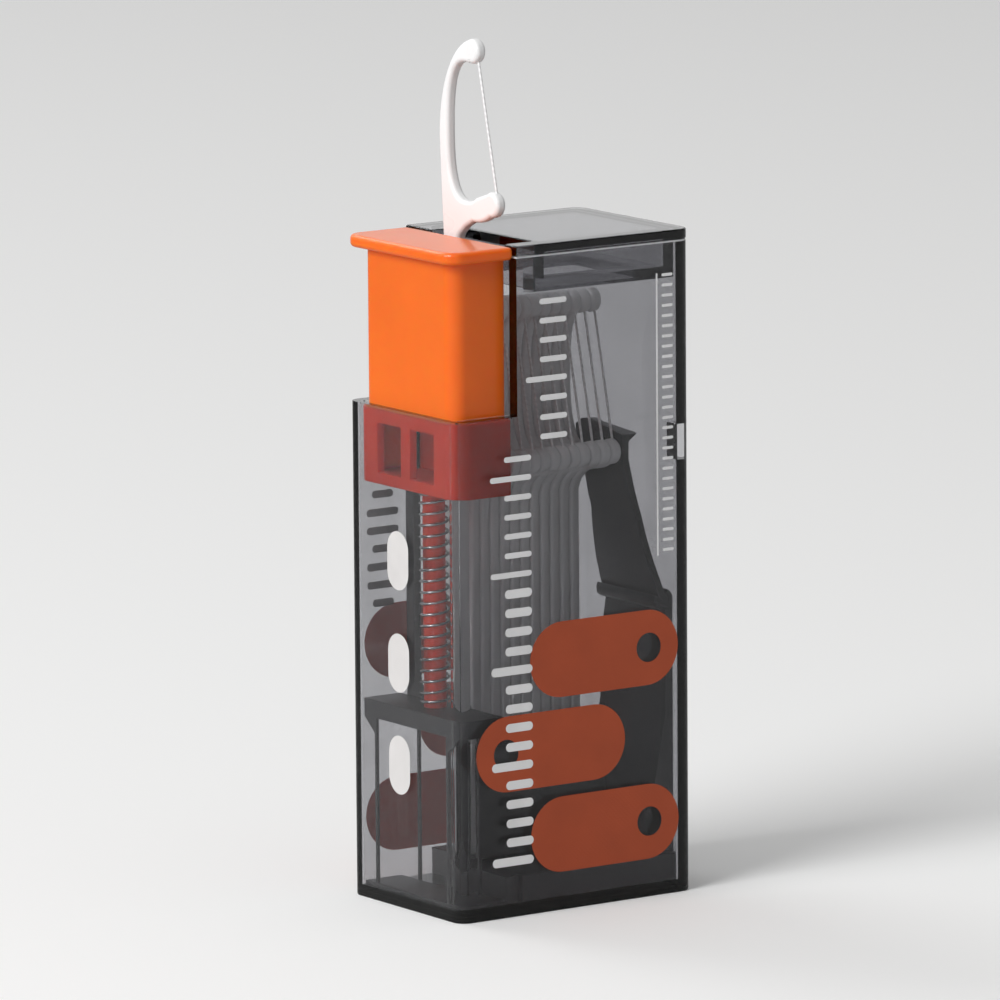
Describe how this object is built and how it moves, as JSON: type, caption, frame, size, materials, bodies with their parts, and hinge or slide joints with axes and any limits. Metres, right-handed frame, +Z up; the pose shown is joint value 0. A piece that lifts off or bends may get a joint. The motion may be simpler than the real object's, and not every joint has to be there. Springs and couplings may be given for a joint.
{
  "type": "floss pick dispenser",
  "caption": "Smoky clear box that stores bow-shaped floss picks upright and lifts one at a time out of a slot when its orange button is pressed.",
  "frame": {"origin": "on the table, under the middle of the case", "axes": "+Z up, +X along the wide face from the button's end to the tall end, +Y from the front face to the back"},
  "size_m": [0.0409, 0.0274, 0.1227],
  "materials": {
    "smoky_clear": "clear, smoky and polished",
    "orange_plastic": "satin",
    "dark_plastic": "satin",
    "white_plastic": "glossy",
    "spring_steel": "drawn wire",
    "floss": "thread"
  },
  "bodies": {
    "case": {"shell": "smoky_clear", "inner_frame": "dark_plastic", "button_spring": "spring_steel", "stored_pick_1": "white_plastic", "stored_pick_2": "white_plastic", "stored_pick_3": "white_plastic", "stored_pick_4": "white_plastic", "stored_pick_5": "white_plastic", "stored_pick_6": "white_plastic", "stored_pick_7": "white_plastic", "stored_pick_8": "white_plastic", "stored_pick_9": "white_plastic", "stored_pick_10": "white_plastic", "stored_pick_11": "white_plastic", "stored_floss_1": "floss", "stored_floss_2": "floss", "stored_floss_3": "floss", "stored_floss_4": "floss", "stored_floss_5": "floss", "stored_floss_6": "floss", "stored_floss_7": "floss", "stored_floss_8": "floss", "stored_floss_9": "floss", "stored_floss_10": "floss", "stored_floss_11": "floss"},
    "lid": {"lid": "smoky_clear"},
    "push_button": {"button_cap": "orange_plastic", "slider": "orange_plastic", "lifter": "dark_plastic"},
    "pusher": {"pusher": "dark_plastic"},
    "raised_pick": {"raised_pick": "white_plastic", "raised_floss": "floss"}
  },
  "joints": [
    {"name": "button_press", "type": "slide", "parent": "case", "child": "push_button", "axis": [0, 0, -1], "range_m": [0, 0.0219], "stiffness_N_per_m": 60, "springref_m": -0.006, "deforming": ["button_spring"]},
    {"name": "pusher_swing", "type": "hinge", "parent": "case", "child": "pusher", "pos_m": [0.01664, 0, 0.042], "axis": [0, 1, 0], "range_deg": [0, 7], "stiffness_Nm_per_rad": 0.005, "springref_deg": -20.05},
    {"name": "lid_lift", "type": "slide", "parent": "case", "child": "lid", "axis": [0, 0, 1], "range_m": [0, 0.008]},
    {"name": "pick_draw", "type": "slide", "parent": "case", "child": "raised_pick", "axis": [0, 0, 1], "range_m": [-0.0147, 0.053]}
  ]
}
